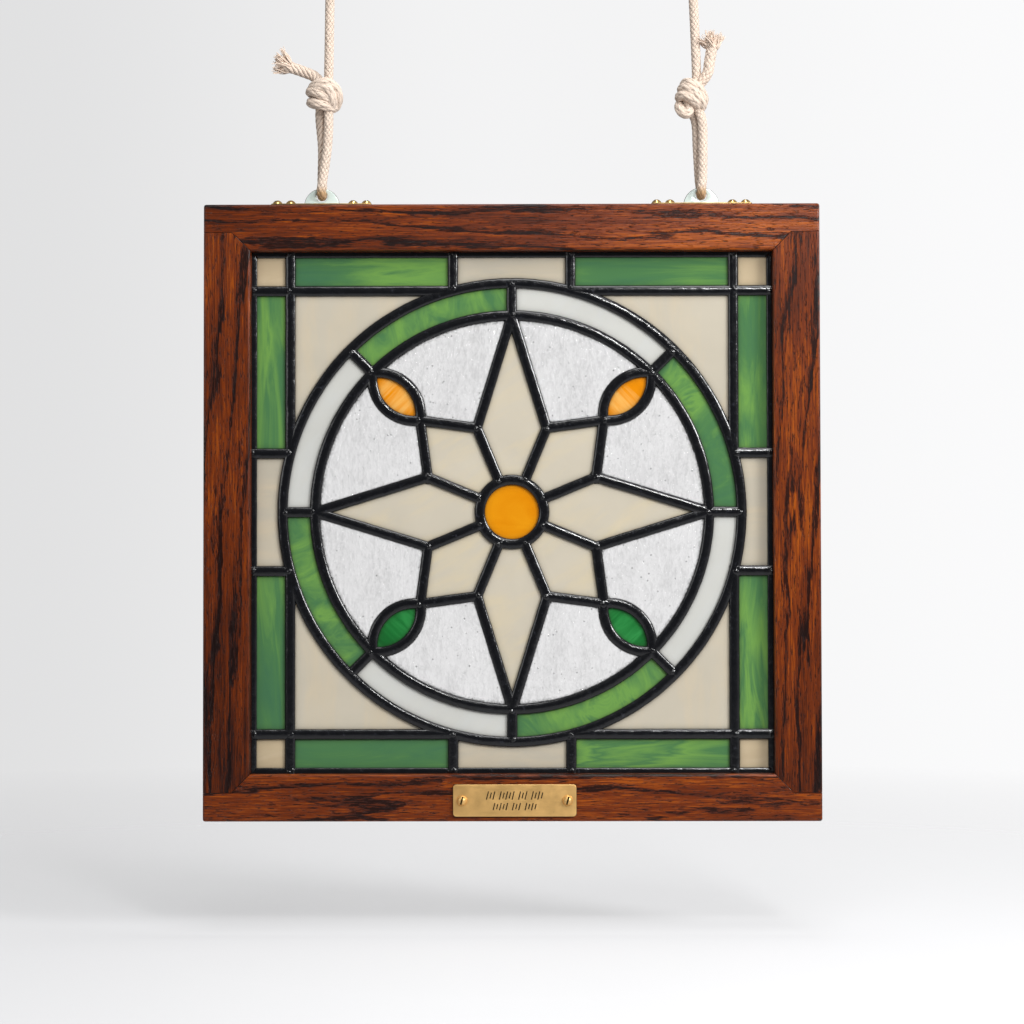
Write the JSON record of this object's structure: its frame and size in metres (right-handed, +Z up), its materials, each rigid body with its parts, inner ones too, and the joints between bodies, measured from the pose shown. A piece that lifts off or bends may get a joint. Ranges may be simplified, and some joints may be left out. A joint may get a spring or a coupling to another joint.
{
  "type": "leaded glass window panel",
  "caption": "Square leaded glass panel with coloured and clear lights in a stained oak frame, hung on two knotted cotton ropes.",
  "frame": {"origin": "middle of the line between the insides of the two upper rope loops, where the panel hangs", "axes": "+Z up, +X to the right as seen from the front, -Y towards the viewer in front of the panel"},
  "size_m": [0.381, 0.026, 0.5715],
  "materials": {
    "stained_oak": "red-brown stained oak, satin varnish",
    "lead": "blackened lead came, satin",
    "cream_glass": "cream opal glass",
    "white_glass": "white opal glass",
    "green_glass": "streaky mid-green glass",
    "leaf_glass": "dark green glass",
    "amber_glass": "streaky amber glass",
    "clear_glass": "clear textured glass",
    "brass": "satin brass",
    "cotton": "natural twisted cotton rope"
  },
  "bodies": {
    "root": {"brass_plate": "brass", "frame_bottom_rail": "stained_oak", "frame_left_stile": "stained_oak", "frame_right_stile": "stained_oak", "frame_top_rail": "stained_oak", "glass_border_level_1": "green_glass", "glass_border_level_2": "green_glass", "glass_border_level_3": "green_glass", "glass_border_level_4": "green_glass", "glass_border_upright_1": "green_glass", "glass_border_upright_2": "green_glass", "glass_border_upright_3": "green_glass", "glass_border_upright_4": "green_glass", "glass_corner_1": "cream_glass", "glass_corner_2": "cream_glass", "glass_corner_3": "cream_glass", "glass_corner_4": "cream_glass", "glass_field_1": "clear_glass", "glass_field_2": "clear_glass", "glass_field_3": "clear_glass", "glass_field_4": "clear_glass", "glass_field_5": "clear_glass", "glass_field_6": "clear_glass", "glass_field_7": "clear_glass", "glass_field_8": "clear_glass", "glass_hub": "amber_glass", "glass_oval_1": "amber_glass", "glass_oval_2": "amber_glass", "glass_oval_3": "leaf_glass", "glass_oval_4": "leaf_glass", "glass_ray_1": "cream_glass", "glass_ray_2": "cream_glass", "glass_ray_3": "cream_glass", "glass_ray_4": "cream_glass", "glass_ray_5": "cream_glass", "glass_ray_6": "cream_glass", "glass_ray_7": "cream_glass", "glass_ray_8": "cream_glass", "glass_ring_1": "green_glass", "glass_ring_2": "white_glass", "glass_ring_3": "green_glass", "glass_ring_4": "white_glass", "glass_ring_5": "green_glass", "glass_ring_6": "white_glass", "glass_ring_7": "green_glass", "glass_ring_8": "white_glass", "glass_side_bottom": "cream_glass", "glass_side_left": "cream_glass", "glass_side_right": "cream_glass", "glass_side_top": "cream_glass", "glass_spandrel_1": "cream_glass", "glass_spandrel_2": "cream_glass", "glass_spandrel_3": "cream_glass", "glass_spandrel_4": "cream_glass", "hanger_left": "brass", "hanger_right": "brass", "lead_came": "lead", "rope_left": "cotton", "rope_right": "cotton"}
  },
  "joints": []
}
